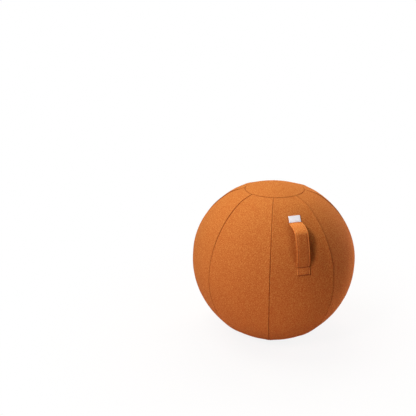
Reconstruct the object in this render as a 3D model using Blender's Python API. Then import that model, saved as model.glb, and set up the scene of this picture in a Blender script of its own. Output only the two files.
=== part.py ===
"""Sitting ball: an inflated inner ball in a sewn cloth cover with a carry strap.

The cover is eight gores and a round top panel. Under it the gores turn in round
a flat base ring, and a curved zip lets the inner ball in and out.
Metres, +Z up. The floor is z = 0, the ball's axis is Z, and the strap faces -Y.
"""
import math

import bmesh
import bpy
from mathutils import Matrix, Vector

for item in list(bpy.data.objects):
    bpy.data.objects.remove(item, do_unlink=True)

# Gap between two pieces that touch
CLEARANCE = 0.0003

# Cover: overall size over the seams, and how far its underside settles flat
BALL_DIAMETER = 0.650
SETTLE = 0.0192
GORE_COUNT = 8
CLOTH = 0.0014
# Cloth turned in along each seam, the ridge that it lifts and the groove in its crest
TURNING_THICKNESS = 0.0014
TURNING_WIDTH = 0.009
RIDGE_HEIGHT = 0.0028
RIDGE_WIDTH = 0.045
SEAM_DIP = 0.002
# Depth of the lower half inside a true sphere, halfway between its widest line and its foot
WAIST_DEPTH = 0.0022
# Round top panel: size at its seam, seam's depth inside the sphere, crown over the seam
CAP_DIAMETER = 0.230
CAP_SINK = 0.0052
CAP_RISE = 0.0165
CROWN_START = math.radians(57)

# Inner ball and its valve
BALL_WALL = 0.0012
VALVE_NECK_DIAMETER = 0.017
VALVE_FLANGE_DIAMETER = 0.032
VALVE_FLANGE_THICKNESS = 0.0012
VALVE_TUBE_DIAMETER = 0.014
VALVE_TUBE_LENGTH = 0.0115
VALVE_BORE_DIAMETER = 0.0084
PLUG_HEAD_DIAMETER = 0.0144
PLUG_HEAD_THICKNESS = 0.0011
PLUG_STEM_LENGTH = 0.0116

# Underside: flat foot of the gores, upstanding hem, base ring in its channel
HEM_WIDTH = 0.0205
HEM_HEIGHT = 0.0095
HEM_ROUND = 0.0012
RING_INSET = 0.0035
RING_HEIGHT = 0.007
RING_CHAMFER = 0.0012
CHANNEL_CLOTH = 0.001
CHANNEL_SETBACK = 0.0015

# Zip round the base panel
ZIP_INSET = 0.0132
ZIP_ANGLE = math.radians(250)
TAPE_THICKNESS = 0.0006
TAPE_WIDTH = 0.0114
TAPE_OVERLAP = 0.0043
COIL_WIDTH = 0.0025
COIL_HEIGHT = 0.0022
COIL_GAP = 0.0012
STOP_LENGTH = 0.003
PANEL_SETBACK = 0.0039
SLIDER_LENGTH = 0.0155
SLIDER_PLATE = 0.001
SLIDER_FLANGE = 0.001
SLIDER_FLARE = 0.0009
BAIL_DROP = 0.0014
BAIL_WIDTH = 0.0016
BAIL_WALL = 0.0009
PULL_LENGTH = 0.024
PULL_WIDTH = 0.007
PULL_THICKNESS = 0.0012
PULL_HOLE_DIAMETER = 0.003

# Carry strap: latitudes on the ball where it is sewn down and where it stands free
STRAP_WIDTH = 0.050
STRAP_THICKNESS = 0.004
STRAP_EDGE = 0.0012
STRAP_TOP = math.radians(51.0)
STRAP_LEAVES = math.radians(46.05)
STRAP_RETURNS = math.radians(17.5)
STRAP_FOOT = math.radians(11.9)
# Free stretch: out to the shoulder, over its fold and down to the lower end, and how far
# the strap's face looks up at each of these places
SHOULDER_LENGTH = 0.058
FOLD_LENGTH = 0.010
HANG_LENGTH = 0.114
FACE_LEAVES = math.radians(84)
FACE_SHOULDER = math.radians(66)
FACE_HANGS = math.radians(38)
FACE_RETURNS = math.radians(-6)
# The grip is where the strap stands at least this far from the line it swings on
GRIP_OFFSET = 0.0175
LABEL_WIDTH = 0.045
LABEL_THICKNESS = 0.0007
PATCH_MARGIN = 0.006

# Facets: rows down a gore, azimuth step of the zip, sides of the valve
GORE_ROWS = 16
ZIP_FACET = math.radians(5)
VALVE_SIDES = 16

# Derived places on the ball
SEAM_RADIUS = BALL_DIAMETER / 2
RADIUS = SEAM_RADIUS - RIDGE_HEIGHT
CENTRE_HEIGHT = RADIUS - SETTLE
GORE_ANGLE = 2 * math.pi / GORE_COUNT
TURNING_SHARE = 1 - TURNING_WIDTH / (RADIUS * GORE_ANGLE / 2)
HALF_SHARE = 0.5
CAP_LATITUDE = math.acos(CAP_DIAMETER / 2 / (RADIUS - CAP_SINK))
FOOT_LATITUDE = -math.asin(CENTRE_HEIGHT / RADIUS)
TURNING_LATITUDE = CAP_LATITUDE - TURNING_WIDTH / RADIUS
ROW_STEP = (TURNING_LATITUDE - FOOT_LATITUDE) / GORE_ROWS
LATITUDES = [TURNING_LATITUDE - row * ROW_STEP for row in range(GORE_ROWS + 1)]
DOME_RADIUS = ((CAP_DIAMETER / 2) ** 2 + CAP_RISE ** 2) / (2 * CAP_RISE)
DOME_CENTRE = (RADIUS - CAP_SINK) * math.sin(CAP_LATITUDE) + CAP_RISE - DOME_RADIUS
INNER_DEPTH = CLOTH + TURNING_THICKNESS + CLEARANCE

# Derived places on the underside
FOOT_RADIUS = math.sqrt(RADIUS ** 2 - CENTRE_HEIGHT ** 2)
HEM_RADIUS = FOOT_RADIUS - HEM_WIDTH
ZIP_RADIUS = HEM_RADIUS - ZIP_INSET
TAPE_BOTTOM = HEM_HEIGHT + CLEARANCE
TAPE_TOP = TAPE_BOTTOM + TAPE_THICKNESS
COIL_TOP = TAPE_BOTTOM - CLEARANCE
COIL_BOTTOM = COIL_TOP - COIL_HEIGHT
TEETH_INNER = ZIP_RADIUS - COIL_GAP / 2
TEETH_OUTER = ZIP_RADIUS + COIL_GAP / 2
TAPE_OUTER_EDGE = HEM_RADIUS + TAPE_OVERLAP
PANEL_RADIUS = TEETH_INNER - COIL_WIDTH - PANEL_SETBACK
BALL_FLAT = TAPE_TOP + CLEARANCE + SLIDER_PLATE + CLEARANCE


def make_material(name, colour, roughness, metallic=0.0):
    """Plain Principled material."""
    material = bpy.data.materials.new(name)
    material.use_nodes = True
    shader = material.node_tree.nodes["Principled BSDF"]
    shader.inputs["Base Color"].default_value = (*colour, 1.0)
    shader.inputs["Roughness"].default_value = roughness
    shader.inputs["Metallic"].default_value = metallic
    return material


ORANGE_CLOTH = make_material("orange_cloth", (0.46, 0.15, 0.035), 0.9)
WHITE_CLOTH = make_material("white_cloth", (0.82, 0.83, 0.86), 0.8)
DARK_CLOTH = make_material("dark_cloth", (0.035, 0.035, 0.04), 0.9)
ZIP_NYLON = make_material("zip_nylon", (0.02, 0.02, 0.022), 0.55)
ZIP_METAL = make_material("zip_metal", (0.3, 0.3, 0.31), 0.35, 1.0)
RING_RUBBER = make_material("ring_rubber", (0.03, 0.03, 0.03), 0.7)
BALL_VINYL = make_material("ball_vinyl", (0.32, 0.33, 0.35), 0.45)
VALVE_PLASTIC = make_material("valve_plastic", (0.8, 0.8, 0.78), 0.4)


def add_object(name, bm, material, origin=(0.0, 0.0, 0.0), weld=True):
    """Closes a mesh, points its faces out and links it with its origin at the given place."""
    if weld:
        bmesh.ops.remove_doubles(bm, verts=bm.verts, dist=1e-6)
    bmesh.ops.recalc_face_normals(bm, faces=bm.faces)
    bmesh.ops.translate(bm, verts=bm.verts, vec=-Vector(origin))
    mesh = bpy.data.meshes.new(name)
    bm.to_mesh(mesh)
    bm.free()
    mesh.shade_smooth()
    mesh.set_sharp_from_angle(angle=math.radians(40))
    mesh.materials.append(material)
    made = bpy.data.objects.new(name, mesh)
    made.location = origin
    bpy.context.scene.collection.objects.link(made)
    return made


def loft(sections, ring=False, open_profile=False):
    """Skin through equal sections. A ring joins up, and otherwise the ends are closed
    with strips between a section's first half and its second half."""
    bm = bmesh.new()
    rows = [[bm.verts.new(point) for point in section] for section in sections]
    count = len(rows[0])
    pairs = list(zip(rows, rows[1:]))
    if ring:
        pairs.append((rows[-1], rows[0]))
    for first, second in pairs:
        for i in range(count - 1 if open_profile else count):
            j = (i + 1) % count
            bm.faces.new((first[i], first[j], second[j], second[i]))
    if not ring:
        for row in (rows[0], rows[-1]):
            for i in range(count // 2 - 1):
                bm.faces.new((row[i], row[i + 1], row[count - 2 - i], row[count - 1 - i]))
    return bm


def smooth(value):
    """Smooth step from 0 to 1."""
    held = min(1.0, max(0.0, value))
    return held * held * (3 - 2 * held)


def crown_share(latitude):
    """How far the cover has drawn in towards the top panel's seam."""
    return smooth((latitude - CROWN_START) / (CAP_LATITUDE - CROWN_START))


def cover_radius(latitude):
    """Distance of the cover's face from the ball's centre."""
    if latitude >= CAP_LATITUDE:
        reach = DOME_RADIUS ** 2 - (DOME_CENTRE * math.cos(latitude)) ** 2
        return DOME_CENTRE * math.sin(latitude) + math.sqrt(reach)
    waist = math.sin(math.pi * min(latitude, 0.0) / FOOT_LATITUDE) ** 2
    return RADIUS - CAP_SINK * crown_share(latitude) - WAIST_DEPTH * waist


def cover_point(azimuth, latitude, depth):
    """Point under the cover's face. Azimuth 0 is the front, -Y."""
    radius = cover_radius(latitude) - depth
    flat = radius * math.cos(latitude)
    height = CENTRE_HEIGHT + radius * math.sin(latitude)
    return Vector((flat * math.sin(azimuth), -flat * math.cos(azimuth), height))


def seam_dip(share, latitude):
    """Depth of the cloth at a seam: the groove at its edges, less the ridge beside it."""
    side = max(0.0, 1 - (1 - abs(share)) / (1 - TURNING_SHARE))
    top = max(0.0, 1 - abs(latitude - CAP_LATITUDE) * RADIUS / TURNING_WIDTH)
    fade = smooth((latitude - LATITUDES[-2]) / ROW_STEP)
    if latitude > CAP_LATITUDE:
        fade = 0.0
    aside = (1 - abs(share)) * RADIUS * GORE_ANGLE / 2
    ridge = RIDGE_HEIGHT * max(0.0, 1 - aside / RIDGE_WIDTH) ** 2 * (1 - crown_share(latitude))
    return SEAM_DIP * max(side * fade, top) - ridge * fade


# Columns across a gore: share of its half angle, and whether its edge is turned in there
COLUMNS = [(-1.0, True), (-TURNING_SHARE, True), (-TURNING_SHARE, False), (-HALF_SHARE, False)]
COLUMNS += [(0.0, False)]
COLUMNS += [(-share, turned) for share, turned in reversed(COLUMNS[:4])]
COLUMN_SHARES = [-1.0, -TURNING_SHARE, -HALF_SHARE, 0.0, HALF_SHARE, TURNING_SHARE]
AZIMUTHS = [(gore + share / 2) * GORE_ANGLE for gore in range(GORE_COUNT) for share in COLUMN_SHARES]


def column_azimuth(gore, share, flat_radius):
    """Azimuth of a gore's column, with half the clearance taken off at its edges."""
    azimuth = (gore + share / 2) * GORE_ANGLE
    if abs(share) == 1.0:
        azimuth -= math.copysign(CLEARANCE / 2 / flat_radius, share)
    return azimuth


def gore_section(gore, latitude, turned_everywhere, turned_edges):
    """Loop round a gore's cloth at one latitude."""
    flat_radius = RADIUS * math.cos(latitude)
    outer = []
    inner = []
    for share, turned in COLUMNS:
        azimuth = column_azimuth(gore, share, flat_radius)
        dip = seam_dip(share, latitude)
        depth = CLOTH
        if turned_everywhere or (turned and turned_edges):
            depth += TURNING_THICKNESS
        outer.append(cover_point(azimuth, latitude, dip))
        inner.append(cover_point(azimuth, latitude, dip + depth))
    return outer + inner[::-1]


def foot_section(gore, outside, inside):
    """Loop round a gore's cloth on the underside, from (radius, height) of its two faces."""
    outer = []
    inner = []
    for share, _ in COLUMNS:
        for points, (radius, height) in ((outer, outside), (inner, inside)):
            azimuth = column_azimuth(gore, share, radius)
            points.append(Vector((radius * math.sin(azimuth), -radius * math.cos(azimuth), height)))
    return outer + inner[::-1]


# Gores: down the ball, flat under it, then up in a hem round the zip
FOOT_INSIDE = FOOT_RADIUS - CLOTH * math.tan((math.pi / 2 + FOOT_LATITUDE) / 2)
TOP_EDGE = CAP_LATITUDE - CLEARANCE / 2 / RADIUS
for gore in range(GORE_COUNT):
    sections = [gore_section(gore, TOP_EDGE, True, True)]
    sections.append(gore_section(gore, LATITUDES[0], True, True))
    for latitude in LATITUDES[:-2]:
        sections.append(gore_section(gore, latitude, False, True))
    sections.append(gore_section(gore, LATITUDES[-2], False, False))
    hem_inside = HEM_RADIUS + CLOTH
    sections.append(foot_section(gore, (FOOT_RADIUS, 0.0), (FOOT_INSIDE, CLOTH)))
    sections.append(foot_section(gore, (HEM_RADIUS + HEM_ROUND, 0.0), (hem_inside, CLOTH)))
    sections.append(foot_section(gore, (HEM_RADIUS, HEM_ROUND), (hem_inside, CLOTH)))
    sections.append(foot_section(gore, (HEM_RADIUS, HEM_HEIGHT), (hem_inside, HEM_HEIGHT)))
    add_object(f"cover_gore_{gore + 1}", loft(sections), ORANGE_CLOTH)

# Round top panel, with its edge turned in like the gores'
CAP_TURNING = CAP_LATITUDE + TURNING_WIDTH / RADIUS
CAP_EDGE = CAP_LATITUDE + CLEARANCE / 2 / RADIUS
CAP_LATITUDES = [math.pi / 2 - step / 3 * (math.pi / 2 - CAP_TURNING) for step in range(4)]
sections = []
for azimuth in AZIMUTHS:
    face = [(latitude, 0.0) for latitude in CAP_LATITUDES] + [(CAP_EDGE, 0.0)]
    back = [(CAP_EDGE, CLOTH + TURNING_THICKNESS), (CAP_TURNING, CLOTH + TURNING_THICKNESS)]
    back += [(latitude, CLOTH) for latitude in reversed(CAP_LATITUDES)]
    profile = face + back
    sections.append([cover_point(azimuth, lat, depth + seam_dip(0.0, lat)) for lat, depth in profile])
add_object("top_cap", loft(sections, ring=True, open_profile=True), ORANGE_CLOTH)


def ring_point(azimuth, radius, height):
    """Point on a ring whose facets match the gores' columns."""
    turned = (azimuth - AZIMUTHS[0]) % (2 * math.pi) + AZIMUTHS[0]
    edges = AZIMUTHS + [AZIMUTHS[0] + 2 * math.pi]
    for start, end in zip(edges, edges[1:]):
        if start - 1e-9 <= turned <= end + 1e-9:
            break
    radius *= math.cos((end - start) / 2) / math.cos(turned - (start + end) / 2)
    return Vector((radius * math.sin(azimuth), -radius * math.cos(azimuth), height))


# Inner ball: follows the cover under its turned-in edges, flat over the zip, open at the valve
NECK_HOLE = VALVE_NECK_DIAMETER / 2 + CLEARANCE
BALL_SHARES = [-1.0, -HALF_SHARE, 0.0, HALF_SHARE]


def ball_profile(gore, share, depth, flat_height):
    """Points down one face of the inner ball's wall to the valve's hole."""
    azimuth = (gore + share / 2) * GORE_ANGLE
    flat_latitude = -math.asin((CENTRE_HEIGHT - flat_height) / (RADIUS - depth))
    rows = CAP_LATITUDES + [CAP_LATITUDE]
    rows += [latitude for latitude in LATITUDES if latitude > flat_latitude + ROW_STEP / 3]
    points = [cover_point(azimuth, latitude, depth + seam_dip(share, latitude)) for latitude in rows]
    points.append(cover_point(azimuth, flat_latitude, depth))
    hole = Vector((NECK_HOLE * math.sin(azimuth), -NECK_HOLE * math.cos(azimuth), flat_height))
    return points + [hole]


sections = []
for gore in range(GORE_COUNT):
    for share in BALL_SHARES:
        outside = ball_profile(gore, share, INNER_DEPTH, BALL_FLAT)
        inside = ball_profile(gore, share, INNER_DEPTH + BALL_WALL, BALL_FLAT + BALL_WALL)
        sections.append(outside + inside[::-1])
add_object("inner_ball", loft(sections, ring=True, open_profile=True), BALL_VINYL)


def turned(profile, sides):
    """Solid of revolution from (radius, height) points."""
    sections = []
    for side in range(sides):
        angle = side * 2 * math.pi / sides
        sections.append([(r * math.sin(angle), -r * math.cos(angle), z) for r, z in profile])
    closed = profile[0][0] > 0
    return loft(sections, ring=True, open_profile=not closed)


# Valve: a flanged tube inside the ball's wall, and a push-in plug with a flush head
FLANGE_BOTTOM = BALL_FLAT + BALL_WALL + CLEARANCE
FLANGE_TOP = FLANGE_BOTTOM + VALVE_FLANGE_THICKNESS
SEAT_FLOOR = BALL_FLAT + PLUG_HEAD_THICKNESS + CLEARANCE
BORE = VALVE_BORE_DIAMETER / 2
HEAD_HOLE = PLUG_HEAD_DIAMETER / 2 + CLEARANCE
seat_profile = [
    (BORE, FLANGE_TOP + VALVE_TUBE_LENGTH),
    (VALVE_TUBE_DIAMETER / 2, FLANGE_TOP + VALVE_TUBE_LENGTH),
    (VALVE_TUBE_DIAMETER / 2, FLANGE_TOP),
    (VALVE_FLANGE_DIAMETER / 2, FLANGE_TOP),
    (VALVE_FLANGE_DIAMETER / 2, FLANGE_BOTTOM),
    (VALVE_NECK_DIAMETER / 2, FLANGE_BOTTOM),
    (VALVE_NECK_DIAMETER / 2, BALL_FLAT),
    (HEAD_HOLE, BALL_FLAT),
    (HEAD_HOLE, SEAT_FLOOR),
    (BORE, SEAT_FLOOR),
]
add_object("valve_seat", turned(seat_profile, VALVE_SIDES), VALVE_PLASTIC)
HEAD_TOP = BALL_FLAT + PLUG_HEAD_THICKNESS
STEM = BORE - CLEARANCE
plug_profile = [
    (0.0, HEAD_TOP + PLUG_STEM_LENGTH),
    (STEM * 0.65, HEAD_TOP + PLUG_STEM_LENGTH),
    (STEM, HEAD_TOP + PLUG_STEM_LENGTH - STEM * 0.5),
    (STEM, HEAD_TOP),
    (PLUG_HEAD_DIAMETER / 2, HEAD_TOP),
    (PLUG_HEAD_DIAMETER / 2, BALL_FLAT),
    (0.0, BALL_FLAT),
]
add_object("valve_plug", turned(plug_profile, VALVE_SIDES), VALVE_PLASTIC)

# Base ring, flat and chamfered, between the gores' foot and their hem
RING_INNER = HEM_RADIUS + CLOTH + CLEARANCE
RING_OUTER = FOOT_RADIUS - RING_INSET
RING_BOTTOM = CLOTH + CLEARANCE
RING_TOP = RING_BOTTOM + RING_HEIGHT
ring_profile = [
    (RING_INNER + RING_CHAMFER, RING_TOP),
    (RING_OUTER - RING_CHAMFER, RING_TOP),
    (RING_OUTER, RING_TOP - RING_CHAMFER),
    (RING_OUTER, RING_BOTTOM + RING_CHAMFER),
    (RING_OUTER - RING_CHAMFER, RING_BOTTOM),
    (RING_INNER + RING_CHAMFER, RING_BOTTOM),
    (RING_INNER, RING_BOTTOM + RING_CHAMFER),
    (RING_INNER, RING_TOP - RING_CHAMFER),
]
sections = [[ring_point(azimuth, r, z) for r, z in ring_profile] for azimuth in AZIMUTHS]
add_object("base_ring", loft(sections, ring=True), RING_RUBBER)

# Ring channel: a strip over the base ring whose skirt is sewn to the inside of the gores
CHANNEL_BOTTOM = RING_TOP + CLEARANCE
CHANNEL_INNER = TAPE_OUTER_EDGE + CHANNEL_SETBACK
row_above = cover_point(0.0, LATITUDES[-2], CLOTH)
foot_line = Vector((FOOT_INSIDE, CLOTH))
slope = Vector((-row_above.y, row_above.z)) - foot_line
across = Vector((-slope.y, slope.x)).normalized()
skirt_end = foot_line + slope * 0.2 + across * CLEARANCE
skirt_back = skirt_end + across * CHANNEL_CLOTH
channel_profile = [
    (CHANNEL_INNER, CHANNEL_BOTTOM),
    (RING_OUTER + CHANNEL_CLOTH / 2, CHANNEL_BOTTOM),
    (skirt_end.x, skirt_end.y),
    (skirt_back.x, skirt_back.y),
    (RING_OUTER + CHANNEL_CLOTH, CHANNEL_BOTTOM + CHANNEL_CLOTH),
    (CHANNEL_INNER, CHANNEL_BOTTOM + CHANNEL_CLOTH),
]
sections = [[ring_point(azimuth, r, z) for r, z in channel_profile] for azimuth in AZIMUTHS]
add_object("ring_channel", loft(sections, ring=True), DARK_CLOTH)

# Base panel: a disc inside the zip, with a tab at the back that stays sewn to the hem
STOP_ANGLE = (STOP_LENGTH + CLEARANCE) / ZIP_RADIUS
TAPE_HALF_ANGLE = ZIP_ANGLE / 2 + STOP_ANGLE + CLEARANCE / ZIP_RADIUS
TAB_HALF_ANGLE = math.pi - TAPE_HALF_ANGLE
TAB_RADIUS = HEM_RADIUS - CLEARANCE
sections = []
corners = [math.pi - TAB_HALF_ANGLE, math.pi + TAB_HALF_ANGLE]
for azimuth in sorted([a % (2 * math.pi) for a in AZIMUTHS] + corners):
    if azimuth == corners[0]:
        radii = [PANEL_RADIUS, TAB_RADIUS]
    elif azimuth == corners[1]:
        radii = [TAB_RADIUS, PANEL_RADIUS]
    elif corners[0] < azimuth < corners[1]:
        radii = [TAB_RADIUS]
    else:
        radii = [PANEL_RADIUS]
    for radius in radii:
        bottom = COIL_TOP - CLOTH
        edge = [ring_point(azimuth, radius, bottom), ring_point(azimuth, radius, COIL_TOP)]
        sections.append([(0.0, 0.0, bottom)] + edge + [(0.0, 0.0, COIL_TOP)])
add_object("base_panel", loft(sections, ring=True, open_profile=True), DARK_CLOTH)


def arc(profile, start, end):
    """Sections of a strip that runs round the ball's axis, from (radius, height) points."""
    steps = max(1, round((end - start) / ZIP_FACET))
    sections = []
    for step in range(steps + 1):
        azimuth = start + (end - start) * step / steps
        sections.append([(r * math.sin(azimuth), -r * math.cos(azimuth), z) for r, z in profile])
    return sections


def strip(inner, outer, bottom, top):
    """Rectangle in (radius, height)."""
    return [(inner, bottom), (outer, bottom), (outer, top), (inner, top)]


# Zip tapes, coils and end stops
tape_inner = strip(TEETH_INNER - TAPE_WIDTH, TEETH_INNER, TAPE_BOTTOM, TAPE_TOP)
tape_outer = strip(TEETH_OUTER, TAPE_OUTER_EDGE, TAPE_BOTTOM, TAPE_TOP)
for name, profile in (("zip_tape_inner", tape_inner), ("zip_tape_outer", tape_outer)):
    add_object(name, loft(arc(profile, -TAPE_HALF_ANGLE, TAPE_HALF_ANGLE)), ZIP_NYLON)
COIL_ROUND = COIL_HEIGHT * 0.3
for name, inner in (("zip_coil_inner", TEETH_INNER - COIL_WIDTH), ("zip_coil_outer", TEETH_OUTER)):
    outer = inner + COIL_WIDTH
    profile = [
        (inner, COIL_BOTTOM + COIL_ROUND),
        (inner + COIL_ROUND, COIL_BOTTOM),
        (outer - COIL_ROUND, COIL_BOTTOM),
        (outer, COIL_BOTTOM + COIL_ROUND),
        (outer, COIL_TOP),
        (inner, COIL_TOP),
    ]
    add_object(name, loft(arc(profile, -ZIP_ANGLE / 2, ZIP_ANGLE / 2)), ZIP_NYLON)
stop_profile = strip(TEETH_INNER - COIL_WIDTH, TEETH_OUTER + COIL_WIDTH, COIL_BOTTOM, COIL_TOP)
stop_start = ZIP_ANGLE / 2 + CLEARANCE / ZIP_RADIUS
stop_end = ZIP_ANGLE / 2 + STOP_ANGLE
add_object("zip_stop_closed", loft(arc(stop_profile, -stop_end, -stop_start)), ZIP_METAL)
add_object("zip_stop_open", loft(arc(stop_profile, stop_start, stop_end)), ZIP_METAL)

# Zip slider: two plates on a thin post between the teeth, flanges outside the coils,
# flared at its leading end. It rests against the stop at the closed end.
SLIDER_HALF_ANGLE = SLIDER_LENGTH / 2 / ZIP_RADIUS
SLIDER_AZIMUTH = -ZIP_ANGLE / 2 + SLIDER_HALF_ANGLE + 2 * CLEARANCE / ZIP_RADIUS
PLATE_TOP = COIL_BOTTOM - CLEARANCE
PLATE_BOTTOM = PLATE_TOP - SLIDER_PLATE
FLANGE_TOP_EDGE = TAPE_BOTTOM - CLEARANCE
UPPER_BOTTOM = TAPE_TOP + CLEARANCE
UPPER_TOP = UPPER_BOTTOM + SLIDER_PLATE
POST_HALF = COIL_GAP / 2 - CLEARANCE
FLANGE_INSIDE = COIL_GAP / 2 + COIL_WIDTH + CLEARANCE


def slider_section(azimuth, flare):
    """Section across the slider: lower plate with two flanges, post, upper plate."""
    inside = FLANGE_INSIDE + flare
    outside = inside + SLIDER_FLANGE
    half = [
        (outside, PLATE_BOTTOM),
        (outside, FLANGE_TOP_EDGE),
        (inside, FLANGE_TOP_EDGE),
        (inside, PLATE_TOP),
        (POST_HALF, PLATE_TOP),
        (POST_HALF, UPPER_BOTTOM),
        (inside, UPPER_BOTTOM),
        (inside, UPPER_TOP),
    ]
    outline = half + [(-offset, z) for offset, z in reversed(half)]
    points = []
    for offset, z in outline:
        radius = ZIP_RADIUS + offset
        points.append((radius * math.sin(azimuth), -radius * math.cos(azimuth), z))
    return points


sections = []
for step in range(5):
    azimuth = SLIDER_AZIMUTH + SLIDER_HALF_ANGLE * (step / 2 - 1)
    sections.append(slider_section(azimuth, SLIDER_FLARE * smooth(step / 2 - 1)))
slider_mesh = bmesh.new()
rows = [[slider_mesh.verts.new(point) for point in section] for section in sections]
for first, second in zip(rows, rows[1:]):
    for i in range(len(first)):
        j = (i + 1) % len(first)
        slider_mesh.faces.new((first[i], first[j], second[j], second[i]))
slider_mesh.faces.new(rows[0])
slider_mesh.faces.new(rows[-1])
slider = add_object("zip_slider", slider_mesh, ZIP_METAL)

# Bail under the slider, a short loop whose hole lies along the ball's radius
BAR_REACH = PULL_THICKNESS / math.sqrt(2)
BAIL_HOLE = BAR_REACH + CLEARANCE
BAIL_RADIUS = BAIL_HOLE + BAIL_WALL
BAIL_HEIGHT = PLATE_BOTTOM - BAIL_DROP
bail_place = Matrix.Rotation(SLIDER_AZIMUTH, 4, "Z")
bail_place = bail_place @ Matrix.Translation((0.0, -ZIP_RADIUS, BAIL_HEIGHT))
along_radius = Matrix.Rotation(math.pi / 2, 4, "X")
tools = []
for name, radius, width in (("bail", BAIL_RADIUS, BAIL_WIDTH), ("bail_hole", BAIL_HOLE, 3 * BAIL_WIDTH)):
    bm = bmesh.new()
    bmesh.ops.create_cone(
        bm, cap_ends=True, segments=24, radius1=radius, radius2=radius, depth=width,
        matrix=bail_place @ along_radius,
    )
    tool = add_object(name, bm, ZIP_METAL)
    tool.hide_render = True
    tool.display_type = "WIRE"
    tools.append(tool)
for tool, operation in zip(tools, ("UNION", "DIFFERENCE")):
    change = slider.modifiers.new(tool.name, "BOOLEAN")
    change.operation = operation
    change.solver = "EXACT"
    change.object = tool

# Zip pull: a flat tongue with a window round the bail. It leans down from the bail,
# and its tip stays clear of the floor.
TIP_CLEAR = 2 * CLEARANCE
PULL_LEAN = math.asin((BAIL_HEIGHT - PULL_THICKNESS / 2 - TIP_CLEAR) / PULL_LENGTH)
BAR_HALF = PULL_THICKNESS / 2
WINDOW_HALF = BAIL_WIDTH / 2 + CLEARANCE
WINDOW_END = BAIL_RADIUS + 2 * CLEARANCE
outline = [(-BAR_HALF, -PULL_WIDTH / 2)]
TIP_CENTRE = PULL_LENGTH - PULL_WIDTH / 2
for step in range(9):
    angle = -math.pi / 2 + step * math.pi / 8
    tip = TIP_CENTRE + PULL_WIDTH / 2 * math.cos(angle)
    outline.append((tip, PULL_WIDTH / 2 * math.sin(angle)))
outline.append((-BAR_HALF, PULL_WIDTH / 2))
bm = bmesh.new()
lower = [bm.verts.new((along, side, -BAR_HALF)) for along, side in outline]
face = bm.faces.new(lower)
raised = bmesh.ops.extrude_face_region(bm, geom=[face])["geom"]
moved = [part for part in raised if isinstance(part, bmesh.types.BMVert)]
bmesh.ops.translate(bm, verts=moved, vec=(0.0, 0.0, PULL_THICKNESS))
pull = add_object("zip_pull", bm, ZIP_METAL)
pull.matrix_world = bail_place @ Matrix.Rotation(PULL_LEAN, 4, "Y")
window = bmesh.new()
bmesh.ops.create_cube(window, size=1.0)
window_size = (WINDOW_END - BAR_HALF, 2 * WINDOW_HALF, 3 * PULL_THICKNESS)
bmesh.ops.scale(window, verts=window.verts, vec=window_size)
bmesh.ops.translate(window, verts=window.verts, vec=((WINDOW_END + BAR_HALF) / 2, 0.0, 0.0))
hole = bmesh.new()
bmesh.ops.create_cone(
    hole, cap_ends=True, segments=16, radius1=PULL_HOLE_DIAMETER / 2, radius2=PULL_HOLE_DIAMETER / 2,
    depth=3 * PULL_THICKNESS, matrix=Matrix.Translation((TIP_CENTRE, 0.0, 0.0)),
)
for name, bm in (("pull_window", window), ("pull_hole", hole)):
    tool = add_object(name, bm, ZIP_METAL)
    tool.matrix_world = pull.matrix_world.copy()
    tool.hide_render = True
    tool.display_type = "WIRE"
    change = pull.modifiers.new(name, "BOOLEAN")
    change.operation = "DIFFERENCE"
    change.solver = "EXACT"
    change.object = tool


# Carry strap, on the middle of the front gore
def skin_point(aside, latitude, depth):
    """Point on the front gore's flat facets, beside its middle line."""
    for upper, lower in zip(LATITUDES, LATITUDES[1:]):
        if latitude >= lower:
            break
    ends = []
    for row in (upper, lower):
        middle = cover_point(0.0, row, depth)
        side = cover_point(math.copysign(HALF_SHARE * GORE_ANGLE / 2, aside), row, depth)
        ends.append(middle.lerp(side, aside / side.x))
    return ends[0].lerp(ends[1], (upper - latitude) / (upper - lower))


def strap_section(centre, normal, droop, width, thickness, edge):
    """Loop across a strap, whose sides fall away from its middle line by droop."""
    half = width / 2
    under = [(-half, edge), (edge - half, 0.0), (0.0, 0.0), (half - edge, 0.0), (half, edge)]
    over = [(aside, thickness - height) for aside, height in reversed(under)]
    points = []
    for aside, height in under + over:
        points.append(centre + Vector((aside, 0.0, 0.0)) + normal * (height - droop * abs(aside)))
    return points


def up_normal(latitude):
    """Direction out of the ball at the front."""
    return Vector((0.0, -math.cos(latitude), math.sin(latitude)))


def skin_droop(latitude):
    """Fall of the front gore's facets from its middle line, per length to the side."""
    aside = STRAP_WIDTH / 2
    drop = skin_point(0.0, latitude, 0.0) - skin_point(aside, latitude, 0.0)
    return drop.dot(up_normal(latitude)) / aside


def sewn_strip(top, bottom, depth, width, thickness, edge):
    """Strip that lies on the front gore between two latitudes, its underside at a depth."""
    rows = [latitude for latitude in LATITUDES if bottom < latitude < top]
    sections = []
    for latitude in [top] + rows + [bottom]:
        centre = skin_point(0.0, latitude, depth)
        normal = up_normal(latitude)
        sections.append(strap_section(centre, normal, skin_droop(latitude), width, thickness, edge))
    return loft(sections)


strap_size = (STRAP_WIDTH, STRAP_THICKNESS, STRAP_EDGE)
anchor_upper = sewn_strip(STRAP_TOP, STRAP_LEAVES, -CLEARANCE, *strap_size)
add_object("handle_anchor_upper", anchor_upper, ORANGE_CLOTH)
anchor_lower = sewn_strip(STRAP_RETURNS, STRAP_FOOT, -CLEARANCE, *strap_size)
add_object("handle_anchor_lower", anchor_lower, ORANGE_CLOTH)

# Blank label over the upper end
LABEL_DEPTH = -(2 * CLEARANCE + STRAP_THICKNESS)
LABEL_END = STRAP_LEAVES + 0.001 / RADIUS
label_size = (LABEL_WIDTH, LABEL_THICKNESS, LABEL_THICKNESS * 0.3)
label = sewn_strip(STRAP_TOP, LABEL_END, LABEL_DEPTH, *label_size)
add_object("handle_label", label, WHITE_CLOTH)

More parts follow.
